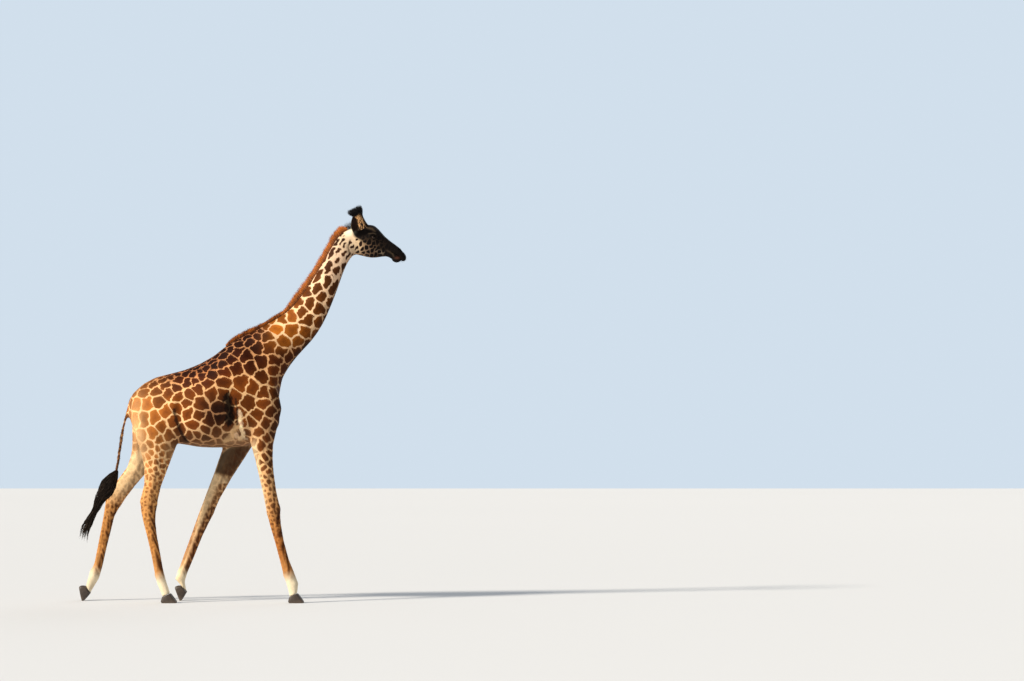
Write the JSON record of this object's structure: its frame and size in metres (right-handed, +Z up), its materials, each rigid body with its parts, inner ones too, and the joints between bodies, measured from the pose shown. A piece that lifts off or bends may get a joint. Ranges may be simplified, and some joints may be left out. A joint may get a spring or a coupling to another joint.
{
  "type": "giraffe model",
  "caption": "Life-size still model of a Masai giraffe cow in a walking pose, with blotched coat, mane, tufted ossicones and tail, standing on her own hooves.",
  "frame": {"origin": "on the floor below the middle of the overall box, at the level of the hoof soles", "axes": "+X the way she walks and faces, +Z up, +Y her left side"},
  "size_m": [3.3651, 0.7222, 4.036],
  "materials": {
    "coat_brown": "short flat hair, red-brown blotches parted by thin cream lines",
    "coat_tan": "short flat hair, tan with faded small blotches",
    "coat_cream": "short flat hair, cream with hardly any marking",
    "dark_face": "very short hair, dark brown to black over the nose and muzzle",
    "mane_rust": "stiff upright rust-coloured hair",
    "hair_black": "coarse black hair",
    "hoof_horn": "dull grey-brown horn",
    "eye": "wet, very dark brown"
  },
  "bodies": {
    "root": {"ear_left": "dark_face", "ear_right": "dark_face", "eye_left": "eye", "eye_right": "eye", "fore_left_cannon": "coat_tan", "fore_left_forearm": "coat_tan", "fore_left_hoof_inner": "hoof_horn", "fore_left_hoof_outer": "hoof_horn", "fore_left_pastern": "coat_cream", "fore_left_shoulder": "coat_brown", "fore_right_cannon": "coat_tan", "fore_right_forearm": "coat_tan", "fore_right_hoof_inner": "hoof_horn", "fore_right_hoof_outer": "hoof_horn", "fore_right_pastern": "coat_cream", "fore_right_shoulder": "coat_brown", "head": "dark_face", "hind_left_cannon": "coat_tan", "hind_left_gaskin": "coat_tan", "hind_left_hoof_inner": "hoof_horn", "hind_left_hoof_outer": "hoof_horn", "hind_left_pastern": "coat_cream", "hind_left_thigh": "coat_brown", "hind_right_cannon": "coat_tan", "hind_right_gaskin": "coat_tan", "hind_right_hoof_inner": "hoof_horn", "hind_right_hoof_outer": "hoof_horn", "hind_right_pastern": "coat_cream", "hind_right_thigh": "coat_brown", "mane_lower": "mane_rust", "mane_upper": "mane_rust", "muzzle": "dark_face", "neck_base": "coat_brown", "neck_middle": "coat_brown", "neck_top": "coat_tan", "ossicone_left": "coat_tan", "ossicone_right": "coat_tan", "ossicone_tuft_left": "hair_black", "ossicone_tuft_right": "hair_black", "tail_end": "coat_brown", "tail_root": "coat_tan", "tail_tuft": "hair_black", "trunk": "coat_brown"}
  },
  "joints": []
}
